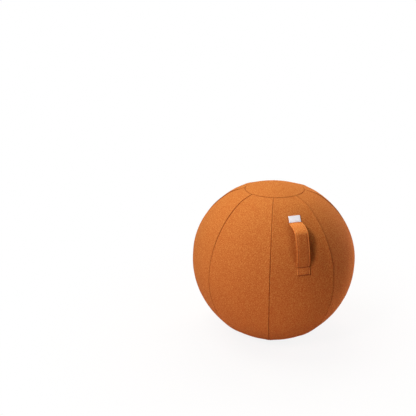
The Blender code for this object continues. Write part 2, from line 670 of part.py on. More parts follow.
# Backing patches inside the gore, behind the two sewn ends
PATCH_DEPTH = CLOTH + TURNING_THICKNESS
PATCH_THICKNESS = TURNING_THICKNESS - CLEARANCE
patch_size = (STRAP_WIDTH + 2 * PATCH_MARGIN, PATCH_THICKNESS, PATCH_THICKNESS * 0.3)
margin = PATCH_MARGIN / RADIUS
patch_upper = sewn_strip(STRAP_TOP + margin, STRAP_LEAVES - margin, PATCH_DEPTH, *patch_size)
add_object("handle_patch_upper", patch_upper, DARK_CLOTH)
patch_lower = sewn_strip(STRAP_RETURNS + margin, STRAP_FOOT - margin, PATCH_DEPTH, *patch_size)
add_object("handle_patch_lower", patch_lower, DARK_CLOTH)

# Free stretch: one curve from the upper sewn end to the lower one
joint_step = CLEARANCE / RADIUS
start = skin_point(0.0, STRAP_LEAVES - joint_step, -CLEARANCE)
end = skin_point(0.0, STRAP_RETURNS + joint_step, -CLEARANCE)
swing_line = (start - end).normalized()
FREE_LENGTH = SHOULDER_LENGTH + FOLD_LENGTH + HANG_LENGTH
FACES = [
    (0.0, FACE_LEAVES),
    (SHOULDER_LENGTH, FACE_SHOULDER),
    (SHOULDER_LENGTH + FOLD_LENGTH, FACE_HANGS),
    (FREE_LENGTH, FACE_RETURNS),
]


def face_rise(travel):
    """How far the strap's face looks up after a length of strap."""
    for (first, before), (last, after) in zip(FACES, FACES[1:]):
        if travel <= last:
            break
    return before + (after - before) * (travel - first) / (last - first)


# The route, outwards and upwards as complex numbers, then turned to meet the lower end
ROUTE_STEPS = 240
route = [0j]
for step in range(ROUTE_STEPS):
    rise = face_rise((step + 0.5) * FREE_LENGTH / ROUTE_STEPS)
    route.append(route[-1] + complex(math.sin(rise), -math.cos(rise)))
meet = complex(start.y - end.y, end.z - start.z) / route[-1]


def strap_place(t):
    """Place and direction on the free stretch."""
    first = min(int(t * ROUTE_STEPS), ROUTE_STEPS - 1)
    stride = (route[first + 1] - route[first]) * meet
    point = route[first] * meet + stride * (t * ROUTE_STEPS - first)
    place = start + Vector((0.0, -point.real, point.imag))
    return place, Vector((0.0, -stride.real, stride.imag)).normalized()


def swing_offset(t):
    """Distance of the strap from the line through its two ends."""
    place, _ = strap_place(t)
    from_end = place - end
    return (from_end - swing_line * from_end.dot(swing_line)).length


steps = [step / 400 for step in range(401)]
clear = [t for t in steps if swing_offset(t) >= GRIP_OFFSET]
GRIP_START = clear[0]
GRIP_END = clear[-1]
grip_middle = (start + end) / 2


def strap_stretch(first, last, count, first_gap, last_gap):
    """Sections of the free stretch. Its sides droop near the sewn ends only."""
    sections = []
    for step in range(count + 1):
        t = first + (last - first) * step / count
        place, way = strap_place(t)
        normal = Vector((0.0, way.z, -way.y))
        if step == 0:
            place = place + way * first_gap
        if step == count:
            place = place - way * last_gap
        droop = skin_droop(STRAP_LEAVES) * (1 - smooth(t / GRIP_START))
        droop += skin_droop(STRAP_RETURNS) * (1 - smooth((1 - t) / (1 - GRIP_END)))
        if t == 0.0:
            normal = up_normal(STRAP_LEAVES)
        if t == 1.0:
            normal = up_normal(STRAP_RETURNS)
        sections.append(strap_section(place, normal, droop, *strap_size))
    return loft(sections)


gap = CLEARANCE / 2
root_upper = strap_stretch(0.0, GRIP_START, 4, 0.0, gap)
add_object("handle_root_upper", root_upper, ORANGE_CLOTH, start)
grip = strap_stretch(GRIP_START, GRIP_END, 18, gap, gap)
add_object("handle_grip", grip, ORANGE_CLOTH, grip_middle)
root_lower = strap_stretch(GRIP_END, 1.0, 4, gap, 0.0)
add_object("handle_root_lower", root_lower, ORANGE_CLOTH, end)
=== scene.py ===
"""Looks of the sitting ball: a sewn felt cover over an inflated ball, a carry strap, a zipped base."""
import math

import bmesh
import bpy
from mathutils import Matrix, Vector, noise


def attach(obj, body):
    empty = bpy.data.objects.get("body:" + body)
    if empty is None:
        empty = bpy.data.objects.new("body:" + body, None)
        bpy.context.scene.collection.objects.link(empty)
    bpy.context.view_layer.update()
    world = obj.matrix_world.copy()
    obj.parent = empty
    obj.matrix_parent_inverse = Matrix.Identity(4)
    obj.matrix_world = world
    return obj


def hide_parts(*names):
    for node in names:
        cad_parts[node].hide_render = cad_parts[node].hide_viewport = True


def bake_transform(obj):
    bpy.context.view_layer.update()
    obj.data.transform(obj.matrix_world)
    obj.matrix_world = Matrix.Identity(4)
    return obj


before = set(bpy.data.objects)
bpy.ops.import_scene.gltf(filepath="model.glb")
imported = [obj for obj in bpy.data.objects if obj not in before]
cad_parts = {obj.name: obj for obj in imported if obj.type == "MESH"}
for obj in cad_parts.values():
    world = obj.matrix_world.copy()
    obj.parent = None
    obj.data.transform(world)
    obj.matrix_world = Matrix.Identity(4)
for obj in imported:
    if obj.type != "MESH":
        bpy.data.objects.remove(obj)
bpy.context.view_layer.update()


# Inner ball: an inflated vinyl ball, moulded in one piece, that carries the sitter.
# The cover hides it, so it keeps the frame's shape and gets a dull, finely pebbled skin.
def shader_of(material):
    """The material's own shader."""
    return material.node_tree.nodes["Principled BSDF"]


def start_material(name, colour, roughness):
    """New node material with its colour and roughness on the shader itself."""
    material = bpy.data.materials.new(name)
    material.use_nodes = True
    shader = shader_of(material)
    shader.inputs["Base Color"].default_value = (*colour, 1.0)
    shader.inputs["Roughness"].default_value = roughness
    return material


def add_node(material, kind, **inputs):
    """New shader node with some of its inputs set."""
    node = material.node_tree.nodes.new("ShaderNode" + kind)
    for name, value in inputs.items():
        node.inputs[name].default_value = value
    return node


def join(material, output, socket):
    """Link between two nodes."""
    material.node_tree.links.new(output, socket)


def add_bump(material, height, strength, distance):
    """Relief on the material's shader from a height output."""
    bump = add_node(material, "Bump", Strength=strength, Distance=distance)
    join(material, height, bump.inputs["Height"])
    join(material, bump.outputs["Normal"], shader_of(material).inputs["Normal"])


def noise_texture(material, scale, detail):
    """Noise in the piece's own metres."""
    place = add_node(material, "TexCoord")
    texture = add_node(material, "TexNoise", Scale=scale, Detail=detail)
    join(material, place.outputs["Object"], texture.inputs["Vector"])
    return texture


def colour_from(material, value, stops):
    """Base colour that runs through colour stops as a value grows."""
    ramp = add_node(material, "ValToRGB")
    elements = ramp.color_ramp.elements
    while len(elements) < len(stops):
        elements.new(0.5)
    for element, (position, colour) in zip(elements, stops):
        element.position = position
        element.color = (*colour, 1.0)
    join(material, value, ramp.inputs["Fac"])
    join(material, ramp.outputs["Color"], shader_of(material).inputs["Base Color"])
    return ramp


def grained_material(name, colour, roughness, grain, stops, relief):
    """Material mottled and raised by a grain of some scale and detail, with its strength and height."""
    material = start_material(name, colour, roughness)
    texture = noise_texture(material, *grain)
    colour_from(material, texture.outputs["Fac"], stops)
    add_bump(material, texture.outputs["Fac"], *relief)
    return material


def finish_node(name, material):
    """Gives a frame node its finish."""
    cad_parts[name].material_slots[0].material = material


vinyl = grained_material(
    "ball_vinyl",
    colour=(0.32, 0.33, 0.35),
    roughness=0.48,
    grain=(700.0, 2.0),
    stops=[(0.35, (0.29, 0.30, 0.32)), (0.65, (0.35, 0.36, 0.38))],
    relief=(0.25, 0.0004),
)
finish_node("inner_ball", vinyl)


# Valve: a moulded seat welded into the ball's wall, and a plug pushed into it.
# Both are off-white plastic with the faint flow marks of moulding.
plastic = grained_material(
    "valve_plastic",
    colour=(0.80, 0.80, 0.78),
    roughness=0.38,
    grain=(240.0, 3.0),
    stops=[(0.3, (0.76, 0.76, 0.73)), (0.7, (0.83, 0.83, 0.81))],
    relief=(0.1, 0.0002),
)
finish_node("valve_seat", plastic)
finish_node("valve_plug", plastic)


# Base ring: a flat ring of moulded black rubber that keeps the ball from rolling.
# It lies loose in the cloth channel between the cover's foot and its hem.
rubber = grained_material(
    "ring_rubber",
    colour=(0.03, 0.03, 0.03),
    roughness=0.68,
    grain=(420.0, 4.0),
    stops=[(0.35, (0.022, 0.022, 0.022)), (0.7, (0.045, 0.044, 0.043))],
    relief=(0.3, 0.0003),
)
finish_node("base_ring", rubber)


# Gores: eight panels of heathered wool felt, sewn edge to edge with their turnings inside.
# They are stretched over the ball, lie flat under it and turn up in a hem round the zip.
GORES = 8
GORE_ANGLE = math.tau / GORES
# The cover's face: its radius, the height of its middle, and how far it draws in below and at the crown
BALL_RADIUS = 0.3222
BALL_MIDDLE = 0.303
WAIST_DEPTH = 0.0022
CAP_SINK = 0.0052
CAP_SEAM_RADIUS = 0.115
CROWN_START = math.radians(57)
CAP_LATITUDE = math.acos(CAP_SEAM_RADIUS / (BALL_RADIUS - CAP_SINK))
FOOT_LATITUDE = -math.asin(BALL_MIDDLE / BALL_RADIUS)
FOOT_RADIUS = math.sqrt(BALL_RADIUS ** 2 - BALL_MIDDLE ** 2)
# The hem: how far it lies in from the foot, how high it turns up and how its edge is rounded
HEM_INSET = 0.0205
HEM_RADIUS = FOOT_RADIUS - HEM_INSET
HEM_HEIGHT = 0.0095
HEM_ROUND = 0.0012


def outward(azimuth):
    """Level direction out of the ball, turned from the front to the right."""
    return Vector((math.sin(azimuth), -math.cos(azimuth), 0.0))


def upward(height):
    """A height straight up."""
    return Vector((0.0, 0.0, height))


def ring_point(azimuth, radius, height):
    """Point on a level ring round the ball's upright axis."""
    return Vector((math.sin(azimuth) * radius, -math.cos(azimuth) * radius, height))


def rise(value, start, span):
    """Smooth step from 0 to 1 over a span of values."""
    share = min(1.0, max(0.0, (value - start) / span))
    return share * share * (3 - 2 * share)


def crown_share(latitude):
    """How far the cover has drawn in towards the top panel's seam."""
    return rise(latitude, CROWN_START, CAP_LATITUDE - CROWN_START)


def cover_radius(latitude):
    """Distance of the gores' face from the ball's middle."""
    waist = math.sin(math.pi * min(latitude, 0.0) / FOOT_LATITUDE) ** 2
    return BALL_RADIUS - CAP_SINK * crown_share(latitude) - WAIST_DEPTH * waist


# The turnings lift the cloth to a low ridge along each seam, as its height and its width
RIDGE = (0.0028, 0.045)
RIDGE_CROWN_LOSS = 0.7
RIDGE_FOOT_FADE = 0.2
# Where they are pressed to one side they lift that gore's edge further, from one latitude to another
PRESSED_RIDGE = (0.0028, 0.028)
PRESSED_EDGES = {0: ("right", 0.0, 0.3), 2: ("left", 0.55, 0.8), 5: ("right", 0.55, 0.8)}
# The edge right beside a seam is rolled in, and turned under along the seam itself
ROLL_WIDTH = 0.0035
ROLL_DEPTH = 0.003
TURNED_DEPTH = 0.0012
DEEPEST_EDGE = 0.0045
# Unevenness of the stretched felt, as fineness and height
SLACK = ((8, 0.0007), (27, 0.0003))


def seam_ridge(distance, latitude, height, width):
    """Height of the ridge beside a seam, lower towards the top panel and the foot."""
    reach = width * math.cos(latitude) ** 0.5
    along = 1 - RIDGE_CROWN_LOSS * crown_share(latitude)
    along *= rise(latitude, FOOT_LATITUDE, RIDGE_FOOT_FADE)
    return height * along * max(0.0, 1 - distance / reach) ** 2


def seam_roll(distance):
    """Depth of the rolled edge right beside a seam."""
    across = max(0.0, 1 - distance / ROLL_WIDTH)
    return ROLL_DEPTH * (1 - math.sqrt(1 - across * across))


def slack(point):
    """Small unevenness of stretched felt."""
    return sum(height * noise.noise(point * fineness) for fineness, height in SLACK)


def gore_depth(gore, run, width, latitude, drop):
    """Depth of a gore's rolled edges, less the height of the ridges beside its seams."""
    aside = min(run, width - run)
    depth = seam_roll(aside) + seam_roll(drop) - seam_ridge(aside, latitude, *RIDGE)
    if gore in PRESSED_EDGES:
        edge, start, full = PRESSED_EDGES[gore]
        distance = run if edge == "left" else width - run
        lift = rise(latitude, start, full - start)
        depth -= lift * seam_ridge(distance, latitude, *PRESSED_RIDGE)
    return depth


# Strength of the painted shade along each seam, near the top and near the foot, from the one left of the
# strap round
SEAM_SHADE_STRENGTH = [
    (0.5, 1.1), (0.5, 0.5), (0.8, 0.7), (0.8, 1.0), (1.0, 0.8), (0.7, 0.9), (1.1, 0.9), (1.5, 0.9),
]
# Latitude where the shade strength starts to change, and the span over which it does
SHADE_STRENGTH_CHANGES = (0.2, 0.6)
CAP_SHADE_STRENGTH = 0.7
CAP_SHADE_SWING = 0.35
CAP_SHADE_TURN = 0.5
# Width of the painted shade on either side of a seam, and its gain where the left seam runs up to the
# top
PAINTED_SHADE_WIDTH = 0.0018
CAP_PAINTED_SHADE_WIDTH = 0.0021
LEFT_SEAM = 7
LEFT_PAINTED_SHADE_GAIN = 0.0009
LEFT_PAINTED_SHADE_WIDENS = (0.2, 0.3)
# The gore right of the strap gets a wider painted shade along its left seam, for the shade of the strap
# gore's pressed edge
SHADED_GORE = 1
PRESSED_SHADE = 0.0072
PRESSED_SHADE_WIDENS = (0.0, 0.3)
# Painted shadow of the strap on the front gore: how much darker, how far to either side, and from and to
# which latitudes
STRAP_SHADOW_PAINT = 0.35
STRAP_SHADOW_EDGE = (0.028, 0.024)
STRAP_SHADOW_STARTS = (0.3, 0.15)
STRAP_SHADOW_ENDS = (0.76, 0.08)


def painted_seam_shade(distance, reach):
    """How deep a point lies in the painted shade beside a seam, from 1 to 0."""
    return max(0.0, 1 - distance / reach)


def painted_shade_reach(seam, latitude):
    """Width of the painted shade on either side of a gore seam."""
    widened = rise(latitude, *LEFT_PAINTED_SHADE_WIDENS) if seam % GORES == LEFT_SEAM else 0.0
    return PAINTED_SHADE_WIDTH + LEFT_PAINTED_SHADE_GAIN * widened


def seam_shade_strength(seam, latitude):
    """Strength of the painted shade along a gore seam at a latitude."""
    upper, lower = SEAM_SHADE_STRENGTH[seam % GORES]
    return lower + (upper - lower) * rise(latitude, *SHADE_STRENGTH_CHANGES)


def cap_shade_strength(azimuth):
    """Strength of the painted shade along the top panel's seam, most in front and on its left."""
    return CAP_SHADE_STRENGTH + CAP_SHADE_SWING * math.cos(azimuth + CAP_SHADE_TURN)


def painted_strap_shadow(aside, latitude):
    """Painted shadow of the strap: how much darker the felt is beneath it and beside it."""
    across = 1 - rise(abs(aside), *STRAP_SHADOW_EDGE)
    along = rise(latitude, *STRAP_SHADOW_STARTS) * (1 - rise(latitude, *STRAP_SHADOW_ENDS))
    return STRAP_SHADOW_PAINT * across * along


def gore_crease(gore, run, width, latitude, drop):
    """Painted shade on a gore, along its seams and as the strap's painted shadow."""
    left_reach = painted_shade_reach(gore, latitude)
    if gore == SHADED_GORE:
        left_reach += PRESSED_SHADE * rise(latitude, *PRESSED_SHADE_WIDENS)
    left = painted_seam_shade(run, left_reach) * seam_shade_strength(gore, latitude)
    right = painted_seam_shade(width - run, painted_shade_reach(gore + 1, latitude)) * seam_shade_strength(gore + 1, latitude)
    above = painted_seam_shade(drop, CAP_PAINTED_SHADE_WIDTH) * cap_shade_strength((gore - 0.5 + run / width) * GORE_ANGLE)
    strap_shadow = painted_strap_shadow(run - width / 2, latitude) if gore == 0 else 0.0
    return max(left, right, above, strap_shadow)


MERGE_DISTANCE = 0.000002


def clean_mesh(mesh, outwards=False):
    """Joins points that coincide, and turns the faces of a closed skin outwards."""
    skin = bmesh.new()
    skin.from_mesh(mesh)
    bmesh.ops.remove_doubles(skin, verts=skin.verts, dist=MERGE_DISTANCE)
    if outwards:
        bmesh.ops.recalc_face_normals(skin, faces=skin.faces)
    skin.to_mesh(mesh)
    skin.free()


def add_object(name, data):
    """New object in the scene."""
    added = bpy.data.objects.new(name, data)
    bpy.context.scene.collection.objects.link(added)
    return added


def skin_faces(rows, count, closed=False, first=0):
    """Faces between rows of points, each row with a count of points, from the first point on."""
    faces = []
    for row in range(rows - 1):
        low = first + row * count
        for column in range(count if closed else count - 1):
            beside = (column + 1) % count
            faces.append((low + column, low + count + column, low + count + beside, low + beside))
    return faces


def cloth_piece(name, rows, material, closed=False, filled=()):
    """Piece skinned through rows of points, each with its place on the cloth and, for felt, its painted
    shade.
    """
    count = len(rows[0])
    cells = [cell for row in rows for cell in row]
    faces = []
    if "first" in filled:
        faces.append(tuple(range(count)))
    if "last" in filled:
        faces.append(tuple(reversed(range(len(cells) - count, len(cells)))))
    faces += skin_faces(len(rows), count, closed)
    mesh = bpy.data.meshes.new(name)
    mesh.from_pydata([cell[0] for cell in cells], [], faces)
    layer = mesh.uv_layers.new(name="flat_cloth")
    for loop in mesh.loops:
        layer.data[loop.index].uv = cells[loop.vertex_index][1]
    if len(cells[0]) > 2:
        shade = mesh.attributes.new("painted_shade", "FLOAT", "POINT")
        shade.data.foreach_set("value", [cell[2] for cell in cells])
    clean_mesh(mesh, outwards="last" in filled)
    mesh.shade_smooth()
    mesh.materials.append(material)
    return add_object(name, mesh)


# Felted wool of several dyed shades, with painted shade along its seams and around the strap, and a
# painted highlight on the strap's shoulder and lower end
felt = start_material("cover_felt", (0.54, 0.155, 0.036), 0.95)
felt_shader = shader_of(felt)
felt_shader.inputs["Specular IOR Level"].default_value = 0.03
felt_shader.inputs["Sheen Weight"].default_value = 0.02
felt_shader.inputs["Sheen Roughness"].default_value = 0.5
felt_shader.inputs["Sheen Tint"].default_value = (1.0, 0.8, 0.5, 1.0)
fibres = noise_texture(felt, 300.0, 4.0)
fibres.inputs["Roughness"].default_value = 0.75
melange = [(0.355, (0.42, 0.081, 0.0156)), (0.5, (0.536, 0.151, 0.033)), (0.645, (0.648, 0.263, 0.066))]
shades = colour_from(felt, fibres.outputs["Fac"], melange)
# Painted shade: a point attribute multiplies the felt's colour towards dark brown, and below zero lifts
# it as a painted highlight
painted_shade_amount = add_node(felt, "Attribute")
painted_shade_amount.attribute_name = "painted_shade"
paint_shade_and_highlight = add_node(felt, "Mix")
paint_shade_and_highlight.data_type = "RGBA"
paint_shade_and_highlight.blend_type = "MULTIPLY"
paint_shade_and_highlight.clamp_factor = False
# The mix node's colour sockets share their names with its other kinds, so they go by number
paint_shade_and_highlight.inputs[7].default_value = (0.42, 0.28, 0.18, 1.0)
join(felt, painted_shade_amount.outputs["Fac"], paint_shade_and_highlight.inputs[0])
join(felt, shades.outputs["Color"], paint_shade_and_highlight.inputs[6])
join(felt, paint_shade_and_highlight.outputs[2], felt_shader.inputs["Base Color"])
add_bump(felt, fibres.outputs["Fac"], 0.22, 0.0008)

# Distances from a seam at which the cloth gets a line of points, and how many lines it gets between
SEAM_LINES = (0.00004, 0.0005, 0.0011, 0.002, 0.0032, 0.005, 0.0078, 0.012, 0.018)
GORE_STEPS = 47
GORE_COLUMNS = 9
# The flat underside has a line in from the foot and one out from the hem, whose round edge slants
FOOT_LINE = 0.004
HEM_LINE = 0.006
DOWNWARDS = (0.0, -1.0)
MOSTLY_DOWN = (-0.38, -0.92)
MOSTLY_IN = (-0.92, -0.38)
INWARDS = (-1.0, 0.0)
# Distance that stands for far away from the top panel's seam, for the rows on the underside
FAR_FROM_CAP = 1.0
# Rows down a gore: radius, height, direction of its face, distance from the top panel's seam, latitude
gore_rows = []
gore_latitudes = [CAP_LATITUDE - line / BALL_RADIUS for line in SEAM_LINES]
lowest_line = gore_latitudes[-1]
for step in range(1, GORE_STEPS + 1):
    gore_latitudes.append(lowest_line * (1 - step / GORE_STEPS) + FOOT_LATITUDE * step / GORE_STEPS)
for latitude in gore_latitudes:
    radius = cover_radius(latitude)
    facing = (math.cos(latitude), math.sin(latitude))
    drop = (CAP_LATITUDE - latitude) * BALL_RADIUS
    gore_rows.append((radius * facing[0], BALL_MIDDLE + radius * facing[1], facing, drop, latitude))
for radius, height, facing in (
    (FOOT_RADIUS - FOOT_LINE, 0.0, DOWNWARDS),
    (HEM_RADIUS + HEM_LINE, 0.0, DOWNWARDS),
    (HEM_RADIUS + HEM_ROUND, 0.0, MOSTLY_DOWN),
    (HEM_RADIUS, HEM_ROUND, MOSTLY_IN),
    (HEM_RADIUS, HEM_HEIGHT, INWARDS),
):
    gore_rows.append((radius, height, facing, FAR_FROM_CAP, FOOT_LATITUDE))

for gore in range(GORES):
    rows = []
    for number, (radius, height, facing, drop, latitude) in enumerate([gore_rows[0]] + gore_rows):
        width = GORE_ANGLE * radius
        inner = SEAM_LINES[-1]
        across = list(SEAM_LINES)
        across += [inner + (width - 2 * inner) * step / GORE_COLUMNS for step in range(1, GORE_COLUMNS)]
        across += [width - line for line in reversed(SEAM_LINES)]
        turned = [across[0]] + across + [across[-1]]
        row = []
        for column, run in enumerate(turned):
            depth = gore_depth(gore, run, width, latitude, drop)
            if number == 0 or column in (0, len(turned) - 1):
                depth += TURNED_DEPTH
            out = outward(gore * GORE_ANGLE + (run - width / 2) / radius)
            point = out * radius + upward(height)
            depth = min(depth, DEEPEST_EDGE) + slack(point)
            if facing == DOWNWARDS:
                depth = max(depth, 0.0)
            place = point - (out * facing[0] + upward(facing[1])) * depth
            place.z = max(place.z, 0.0)
            # Each point also carries its painted shade, from the seams and the strap's shadow
            row.append((place, (run - width / 2, drop), gore_crease(gore, run, width, latitude, drop)))
        rows.append(row)
    panel = cloth_piece(f"felt_gore_{gore + 1}", rows, felt)
    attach(panel, "cover")
    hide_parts(f"cover_gore_{gore + 1}")


# Top panel: a round of the same felt that closes the cover where the gores meet.
# Its edge is turned in and sewn to them in one round seam.
CAP_RISE = 0.0165
DOME_RADIUS = (CAP_SEAM_RADIUS ** 2 + CAP_RISE ** 2) / (2 * CAP_RISE)
SEAM_HEIGHT = BALL_MIDDLE + (BALL_RADIUS - CAP_SINK) * math.sin(CAP_LATITUDE)
CAP_SIDES = 144
CAP_STEPS = 9
INNERMOST = 0.0005
cap_span = CAP_SEAM_RADIUS - SEAM_LINES[-1] - INNERMOST
cap_lines = [SEAM_LINES[0]] + list(SEAM_LINES)
cap_lines += [SEAM_LINES[-1] + cap_span * step / CAP_STEPS for step in range(1, CAP_STEPS + 1)]
rows = []
for number, line in enumerate(reversed(cap_lines)):
    radius = CAP_SEAM_RADIUS - line
    lift = math.sqrt(DOME_RADIUS ** 2 - radius ** 2) - DOME_RADIUS + CAP_RISE
    tilt = math.asin(radius / DOME_RADIUS)
    turned_in = TURNED_DEPTH if number == len(cap_lines) - 1 else 0.0
    row = []
    for side in range(CAP_SIDES):
        azimuth = side * math.tau / CAP_SIDES
        out = outward(azimuth)
        point = out * radius + upward(SEAM_HEIGHT + lift)
        depth = seam_roll(line) + turned_in + slack(point)
        place = point - (out * math.sin(tilt) + upward(math.cos(tilt))) * depth
        # Painted shade along the seam round the top panel
        row.append((place, (point.x, point.y), painted_seam_shade(line, CAP_PAINTED_SHADE_WIDTH) * cap_shade_strength(azimuth)))
    rows.append(row)
top_panel = cloth_piece("felt_top_panel", rows, felt, closed=True, filled=("first",))
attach(top_panel, "cover")
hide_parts("top_cap")


# Ring channel: a strip of dark woven cloth over the base ring, inside the cover.
# One edge is sewn to the hem and the other, a little gathered, to the gores.
def combine(material, operation, first, second):
    """Result of an operation on two values."""
    node = add_node(material, "Math")
    node.operation = operation
    join(material, first, node.inputs[0])
    join(material, second, node.inputs[1])
    return node.outputs[0]


# Distance between the bands of a wave texture at a scale of 1
WAVE_PITCH = 0.314
YARN_WANDER = 0.8
# Relief of the yarns, as strength and as share of their pitch
YARN_RELIEF = 0.6
YARN_HEIGHT = 0.35


def woven_material(name, dark, light, pitch, roughness):
    """Plain weave whose yarns lie along the flat cloth, a pitch apart."""
    material = start_material(name, light, roughness)
    place = add_node(material, "TexCoord")
    yarns = []
    for direction in "XY":
        bands = add_node(material, "TexWave", Scale=WAVE_PITCH / pitch, Detail=1.0)
        bands.inputs["Distortion"].default_value = YARN_WANDER
        bands.bands_direction = direction
        join(material, place.outputs["UV"], bands.inputs["Vector"])
        yarns.append(bands.outputs["Fac"])
    crossing = combine(material, "MAXIMUM", *yarns)
    colour_from(material, crossing, [(0.35, dark), (0.95, light)])
    add_bump(material, crossing, YARN_RELIEF, pitch * YARN_HEIGHT)
    return material


base_weave = woven_material("base_weave", (0.012, 0.012, 0.014), (0.045, 0.045, 0.052), 0.0011, 0.85)
# Line across the channel from the hem to the gores: (radius, height)
CHANNEL_LINE = [
    (0.0949, 0.0095), (0.0965, 0.0096), (0.1005, 0.0097), (0.1045, 0.0096), (0.1063, 0.0092),
    (0.1085, 0.0082), (0.112, 0.0073), (0.1158, 0.0066), (0.118, 0.0063),
]
CHANNEL_SIDES = 216
CHANNEL_STEP = 0.003
CHANNEL_RADIUS = 0.106
PUCKERS = 27
PUCKER_HEIGHT = 0.0003
rows = []
for number, (radius, height) in enumerate(CHANNEL_LINE):
    row = []
    for side in range(CHANNEL_SIDES):
        azimuth = side * math.tau / CHANNEL_SIDES
        pucker = PUCKER_HEIGHT * math.sin(PUCKERS * azimuth + 2 * math.sin(5 * azimuth))
        gather = pucker * number / (len(CHANNEL_LINE) - 1)
        place = ring_point(azimuth, radius, height + gather)
        row.append((place, (CHANNEL_STEP * number, azimuth * CHANNEL_RADIUS)))
    rows.append(row)
channel = cloth_piece("woven_ring_channel", rows, base_weave, closed=True)
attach(channel, "cover")
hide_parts("ring_channel")


# Base panel: a round of the same dark cloth that closes the cover's underside within the zip.
# Its edge is turned up and stitched to the inner zip tape, and a tab at the back to the hem.
PANEL_RADIUS = 0.06886
PANEL_HEIGHT = 0.0081
PANEL_SAG = 0.0005
PANEL_SIDES = 120
PANEL_SHARES = (0.001, 0.15, 0.3, 0.45, 0.6, 0.72, 0.82, 0.9, 0.94, 0.965, 0.985, 1.0, 1.0)
EDGE_STARTS = 0.965
EDGE_RISE = 0.0009
EDGE_TOP = 0.0094
TAB_INSET = 0.0003
TAB_RADIUS = HEM_RADIUS - TAB_INSET
TAB_HALF_ANGLE = math.radians(52.3)
TAB_CORNER = 0.001
azimuths = [math.radians(360 / PANEL_SIDES * step) for step in range(PANEL_SIDES)]
for corner in (math.pi - TAB_HALF_ANGLE, math.pi + TAB_HALF_ANGLE):
    azimuths += [corner - TAB_CORNER, corner + TAB_CORNER]
azimuths.sort(reverse=True)
rows = []
for number, share in enumerate(PANEL_SHARES):
    height = PANEL_HEIGHT - PANEL_SAG * (1 - share ** 2)
    height += EDGE_RISE * rise(share, EDGE_STARTS, 1 - EDGE_STARTS)
    if number == len(PANEL_SHARES) - 1:
        height = EDGE_TOP
    row = []
    for azimuth in azimuths:
        tab = abs(azimuth - math.pi) < TAB_HALF_ANGLE
        point = ring_point(azimuth, (TAB_RADIUS if tab else PANEL_RADIUS) * share, height)
        row.append((point, (point.x, point.y)))
    rows.append(row)
base_panel = cloth_piece("woven_base_panel", rows, base_weave, closed=True, filled=("first",))
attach(base_panel, "cover")
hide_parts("base_panel")

STITCH_RINGS = 5
STITCH_CORNERS = 6
# How far a stitch's middle stands over its ends and its ends sink in, in thicknesses of the thread
STITCH_BOW = 1.4
STITCH_SINK = 0.7
LOOK_AHEAD = 0.0003
PANEL_SEAM_RADIUS = 0.0635
STITCH_LIFT = 0.0001


def thread_piece(name, path, span, thread, thick=0.0004, length=0.0036, gap=0.0012):
    """Row of stitches along a path that gives a point and the cloth's facing at each distance."""
    points = []
    faces = []
    count = max(1, round(span / (length + gap)))
    for number in range(count):
        faces += skin_faces(STITCH_RINGS, STITCH_CORNERS, closed=True, first=len(points))
        for ring in range(STITCH_RINGS):
            along = ring / (STITCH_RINGS - 1)
            distance = (number + along) * span / count + gap * (0.5 - along)
            middle, facing = path(distance)
            ahead, _ = path(distance + LOOK_AHEAD)
            aside = (ahead - middle).normalized().cross(facing)
            lift = thick * (STITCH_BOW * math.sin(math.pi * along) - STITCH_SINK)
            for corner in range(STITCH_CORNERS):
                turn = corner * math.tau / STITCH_CORNERS
                raised = middle + facing * (lift + thick * math.sin(turn))
                points.append(raised + aside * thick * math.cos(turn))
    mesh = bpy.data.meshes.new(name)
    mesh.from_pydata(points, [], faces)
    mesh.materials.append(thread)
    mesh.shade_smooth()
    return add_object(name, mesh)


def thread_material(name, dark, light):
    """Spun sewing thread."""
    stops = [(0.4, dark), (0.6, light)]
    return grained_material(name, light, 0.7, grain=(2600.0, 1.0), stops=stops, relief=(0.4, 0.0001))


def panel_seam(distance):
    """Stitch line a little inside the panel's edge."""
    out = outward(distance / PANEL_SEAM_RADIUS)
    return out * PANEL_SEAM_RADIUS + upward(PANEL_HEIGHT - STITCH_LIFT), upward(-1.0)


grey_thread = thread_material("grey_thread", (0.05, 0.05, 0.055), (0.13, 0.13, 0.14))
seam_length = math.tau * PANEL_SEAM_RADIUS
panel_stitches = thread_piece("base_panel_stitches", panel_seam, seam_length, grey_thread)
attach(panel_stitches, "cover")


# Zip tapes: two woven polyester strips, the inner sewn to the base panel and the outer to the hem.
# They run round the underside from one side of the back tab to the other.
ZIP_INSET = 0.0132
ZIP_RADIUS = HEM_RADIUS - ZIP_INSET
TEETH_GAP = 0.0006
TEETH_INNER = ZIP_RADIUS - TEETH_GAP
TEETH_OUTER = ZIP_RADIUS + TEETH_GAP
TAPE_HALF_ANGLE = math.radians(127.7)
TAPE_STEPS = 128
TAPE_HEIGHT = 0.0098
INNER_TAPE_WIDTH = 0.0114
HEM_OVERLAP = 0.0043
